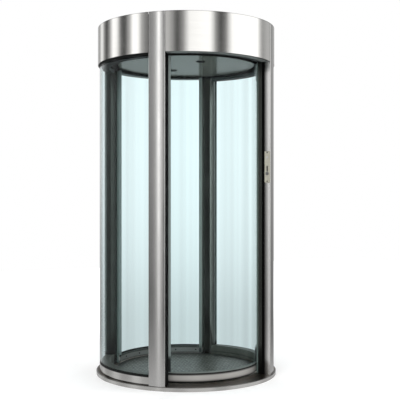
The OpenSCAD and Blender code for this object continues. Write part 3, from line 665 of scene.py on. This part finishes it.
def matFinish(look):
    # ribbed textile mat: dark green-grey pile with a diagonal weave and flecks of pale fibre,
    # painted darker towards its rim as painted shade; real cords are too fine to show, so they
    # are drawn 24 mm apart
    material, tree = startMaterial("ribbedTextileMat")
    place = addNode(tree, "ShaderNodeTexCoord").outputs["Object"]
    heights = []
    for turn in look["turns"]:
        turned = addNode(tree, "ShaderNodeMapping", {},
                         {"Vector": place, "Rotation": (0, 0, math.radians(turn))})
        wave = addNode(tree, "ShaderNodeTexWave", {"wave_type": "BANDS", "bands_direction": "X"},
                       {"Vector": turned.outputs[0],
                        "Scale": look["bandAtScaleOne"] / look["pitch"],
                        "Distortion": look["stray"], "Detail": 1.0, "Detail Scale": 2.0})
        heights.append(wave.outputs["Fac"])
    weave = addNode(tree, "ShaderNodeMath", {"operation": "MULTIPLY"},
                    {0: heights[0], 1: heights[1]})
    specks = stretchedNoise(tree, look["fleck"], detail=4.0, roughness=0.7)
    patches = stretchedNoise(tree, look["patch"], detail=2.0)
    # how far each of the three goes towards the light colour
    shares = []
    for source, span, part in ((weave.outputs[0], {}, "weaveShare"),
                               (specks, noiseRange, "fleckShare"),
                               (patches, noiseRange, "patchShare")):
        least, most = look[part]
        shares.append(addNode(tree, "ShaderNodeMapRange", {},
                              {"Value": source, **span, "To Min": least, "To Max": most}))
    both = addNode(tree, "ShaderNodeMath", {"operation": "ADD"},
                   {0: shares[0].outputs[0], 1: shares[1].outputs[0]})
    shade = addNode(tree, "ShaderNodeMath", {"operation": "ADD", "use_clamp": True},
                    {0: both.outputs[0], 1: shares[2].outputs[0]})
    tone = addNode(tree, "ShaderNodeMix", {"data_type": "RGBA"},
                   {0: shade.outputs[0], colourA: toLinear(look["dark"]),
                    colourB: toLinear(look["light"])}).outputs[mixedColour]
    bump = addNode(tree, "ShaderNodeBump", {},
                   {"Strength": look["bump"], "Distance": look["depth"],
                    "Height": shade.outputs[0]})
    shader = addNode(tree, "ShaderNodeBsdfPrincipled", {},
                     {"Base Color": toneAlong(tree, tone, fromAxis(tree), look["byRadius"]),
                      "Roughness": look["rough"], "IOR": look["ior"],
                      "Normal": bump.outputs[0]})
    finishMaterial(tree, shader)
    return material


ribbedMat = matFinish(floorMat)

finishes = {
    postSteel: ["post_front_left", "post_front_right", "post_back_left", "post_back_right"],
    roundSteel: ["canopy_front", "canopy_back", "canopy_left", "canopy_right"],
    ringSteel: ["base_ring"],
    sideRailSteel: ["side_rail_left", "side_rail_right"],
    satinSteel: ["front_door_rail", "back_door_rail"],
    rimSteelPaintedShadow: ["floor_rim"],
    curbPaint: ["side_curb_left", "side_curb_right"],
    darkSheet: ["base_plate"],
    closingAnodised: ["liner_front_left", "liner_back_right"],
    trailingAnodisedPaintedShade: ["liner_front_right", "liner_back_left"],
    headAnodised: ["side_header_left", "side_header_right"],
    blackAnodised: ["front_door_top_rail", "back_door_top_rail"],
    jointSilicone: ["side_gaskets"],
    frontRubber: ["front_door_gaskets"],
    backRubber: ["back_door_gaskets"],
    sealRubber: ["post_seals"],
    frontVinyl: ["front_door_strips"],
    backVinyl: ["back_door_strips"],
    doorGlass: ["front_door_glass", "back_door_glass"],
    wallGlass: ["side_glass_left", "side_glass_right"],
    ribbedMat: ["floor_mat"],
    ceilingEnamel: ["ceiling_panel"],
    soffitCoat: ["canopy_soffit"],
    roofCoat: ["roof_cover"],
    blackCoat: ["canopy_beams", "door_track"],
    zincSteel: ["front_door_hangers", "back_door_hangers"],
    lockChrome: ["lock_fittings"],
    lockNickel: ["lock_plate"],
    sensorPlastic: ["ceiling_sensors"],
}
for material, names in finishes.items():
    for name in names:
        for slot in nodes[name].material_slots:
            slot.material = material
print("portal: finishes on the nodes")


def latheMesh(name, rings, segments=24):
    # closed turned shape along z, from rings of (radius, or radius at an angle, height)
    shape = bmesh.new()
    loops = []
    for radiusAt, height in rings:
        loop = []
        for i in range(segments):
            turn = 2 * math.pi * i / segments
            radius = radiusAt(turn) if callable(radiusAt) else radiusAt
            place = (radius * math.cos(turn), radius * math.sin(turn), height)
            loop.append(shape.verts.new(place))
        loops.append(loop)
    for lower, upper in zip(loops, loops[1:]):
        for i in range(segments):
            k = (i + 1) % segments
            shape.faces.new((lower[i], lower[k], upper[k], upper[i]))
    shape.faces.new(list(reversed(loops[0])))
    shape.faces.new(loops[-1])
    mesh = bpy.data.meshes.new(name)
    shape.to_mesh(mesh)
    shape.free()
    return mesh


# a button head with a hexagon socket, in shares of its radius and height
screwShape = {
    "outline": [(1.0, 0.35), (0.86, 0.75), (0.62, 1.0)],   # from its side up to its flat top
    "socket": 0.42,        # from the middle to a flat of the hexagon
    "socketFloor": 0.35,
    "sunk": 0.0005,        # metres into what it holds, so that no gap shows
}


def screwHeadMesh(headRadius, headHeight):
    across = headRadius * screwShape["socket"]
    sixth = math.pi / 3

    def hexRadius(turn):
        return across / math.cos((turn + sixth / 2) % sixth - sixth / 2)

    rings = [(headRadius, -screwShape["sunk"])]
    rings += [(headRadius * out, headHeight * up) for out, up in screwShape["outline"]]
    rings += [(hexRadius, headHeight), (hexRadius, headHeight * screwShape["socketFloor"])]
    return latheMesh("screwHead", rings)


def screwRingTree(headObject, material):
    # screws on an arc: their heads point away from the axis, towards it, or up
    tree = bpy.data.node_groups.new("screwsOnArc", "GeometryNodeTree")
    sizes = [
        ("Count", "NodeSocketInt", 5), ("Radius", "NodeSocketFloat", 0.5),
        ("Height", "NodeSocketFloat", 0.05), ("First Angle", "NodeSocketFloat", 0.0),
        ("Step Angle", "NodeSocketFloat", 0.3), ("Tilt", "NodeSocketFloat", 0.0),
        ("Head Scale", "NodeSocketFloat", 1.0),
    ]
    for label, kind, value in sizes:
        socket = tree.interface.new_socket(label, in_out="INPUT", socket_type=kind)
        socket.default_value = value
    tree.interface.new_socket("Geometry", in_out="OUTPUT", socket_type="NodeSocketGeometry")
    given = addNode(tree, "NodeGroupInput").outputs
    points = addNode(tree, "GeometryNodeMeshLine", {"mode": "OFFSET"}, {"Count": given["Count"]})
    index = addNode(tree, "GeometryNodeInputIndex")
    angle = addNode(tree, "ShaderNodeMath", {"operation": "MULTIPLY_ADD"},
                    {0: index.outputs[0], 1: given["Step Angle"], 2: given["First Angle"]})
    cosine = addNode(tree, "ShaderNodeMath", {"operation": "COSINE"}, {0: angle.outputs[0]})
    sine = addNode(tree, "ShaderNodeMath", {"operation": "SINE"}, {0: angle.outputs[0]})
    alongX = addNode(tree, "ShaderNodeMath", {"operation": "MULTIPLY"},
                     {0: cosine.outputs[0], 1: given["Radius"]})
    alongY = addNode(tree, "ShaderNodeMath", {"operation": "MULTIPLY"},
                     {0: sine.outputs[0], 1: given["Radius"]})
    place = addNode(tree, "ShaderNodeCombineXYZ", {},
                    {0: alongX.outputs[0], 1: alongY.outputs[0], 2: given["Height"]})
    placed = addNode(tree, "GeometryNodeSetPosition", {},
                     {"Geometry": points.outputs[0], "Position": place.outputs[0]})
    head = addNode(tree, "GeometryNodeObjectInfo", {}, {"Object": headObject})
    turned = addNode(tree, "ShaderNodeCombineXYZ", {}, {1: given["Tilt"], 2: angle.outputs[0]})
    heads = addNode(tree, "GeometryNodeInstanceOnPoints", {},
                    {"Points": placed.outputs[0], "Instance": head.outputs["Geometry"],
                     "Rotation": turned.outputs[0], "Scale": given["Head Scale"]})
    real = addNode(tree, "GeometryNodeRealizeInstances", {}, {"Geometry": heads.outputs[0]})
    finished = addNode(tree, "GeometryNodeSetMaterial", {},
                       {"Geometry": real.outputs[0], "Material": material})
    addNode(tree, "NodeGroupOutput", {}, {"Geometry": finished.outputs[0]})
    return tree


def bakeNodes(name, tree, values):
    # runs the tree on an empty mesh and keeps the plain result
    holder = bpy.data.objects.new(name + "Holder", bpy.data.meshes.new(name + "Holder"))
    bpy.context.scene.collection.objects.link(holder)
    modifier = holder.modifiers.new("nodes", "NODES")
    modifier.node_group = tree
    inputs = [item for item in tree.interface.items_tree if item.in_out == "INPUT"]
    for item in inputs:
        modifier[item.identifier] = values[item.name]
    holder.update_tag()
    bpy.context.view_layer.update()
    evaluated = holder.evaluated_get(bpy.context.evaluated_depsgraph_get())
    mesh = bpy.data.meshes.new_from_object(evaluated)
    mesh.name = name
    holder.modifiers.clear()
    bpy.data.objects.remove(holder)
    piece = bpy.data.objects.new(name, mesh)
    bpy.context.scene.collection.objects.link(piece)
    return piece


def ringScrews(name, body, material, values):
    headMesh = screwHeadMesh(railScrews["headRadius"], railScrews["headHeight"])
    headObject = bpy.data.objects.new("screwHead", headMesh)
    bpy.context.scene.collection.objects.link(headObject)
    piece = bakeNodes(name, screwRingTree(headObject, material), values)
    bpy.data.objects.remove(headObject)
    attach(piece, body)


railScrews = {
    "count": 5, "spread": 72,   # degrees from the first to the last
    "radius": 0.477,            # metres, the inner face of the rails
    "headRadius": 0.0055, "headHeight": 0.003,
}

for body, middle in (("front_door", -90), ("back_door", 90)):
    lowest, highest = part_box(body + "_rail")
    ringScrews(body + "_rail_screws", body, blackSteel, {
        "Count": railScrews["count"], "Radius": railScrews["radius"],
        "Height": (lowest.z + highest.z) / 2,
        "First Angle": math.radians(middle - railScrews["spread"] / 2),
        "Step Angle": math.radians(railScrews["spread"] / (railScrews["count"] - 1)),
        "Tilt": -math.pi / 2, "Head Scale": 1.0})

roofScrews = {"count": 24, "radius": 0.572, "headScale": 1.3}

ringScrews("roof_screws", "portal", zincSteel, {
    "Count": roofScrews["count"], "Radius": roofScrews["radius"],
    "Height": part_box("roof_cover")[1].z,
    "First Angle": math.pi / roofScrews["count"],   # half a step off the way through
    "Step Angle": 2 * math.pi / roofScrews["count"],
    "Tilt": 0.0, "Head Scale": roofScrews["headScale"]})

lockScrews = {
    "turn": -50.116, "radius": 0.5785,   # degrees and metres, where the middle of the plate is
    "proud": 0.003,                      # metres, how far the plate stands out
    "inset": (0.0095, 0.009),            # metres from its lower and upper ends
    "headScale": 0.75,
}


def plateScrews():
    # the two screws that hold the lock plate, their heads facing into the doorway
    shape = bmesh.new()
    lowest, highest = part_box("lock_plate")
    under, over = lockScrews["inset"]
    for height in (lowest.z + under, highest.z - over):
        head = screwHeadMesh(railScrews["headRadius"] * lockScrews["headScale"],
                             railScrews["headHeight"] * lockScrews["headScale"])
        place = (lockScrews["radius"], -lockScrews["proud"], height)
        head.transform(Matrix.Rotation(math.radians(lockScrews["turn"]), 4, "Z")
                       @ Matrix.Translation(place) @ Matrix.Rotation(math.pi / 2, 4, "X"))
        shape.from_mesh(head)
    mesh = bpy.data.meshes.new("lock_plate_screws")
    shape.to_mesh(mesh)
    shape.free()
    mesh.materials.append(blackSteel)
    piece = bpy.data.objects.new("lock_plate_screws", mesh)
    bpy.context.scene.collection.objects.link(piece)
    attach(piece, "portal")


plateScrews()
print("portal: screws made")

bpy.context.scene.view_settings.view_transform = "Standard"
print("portal: done")
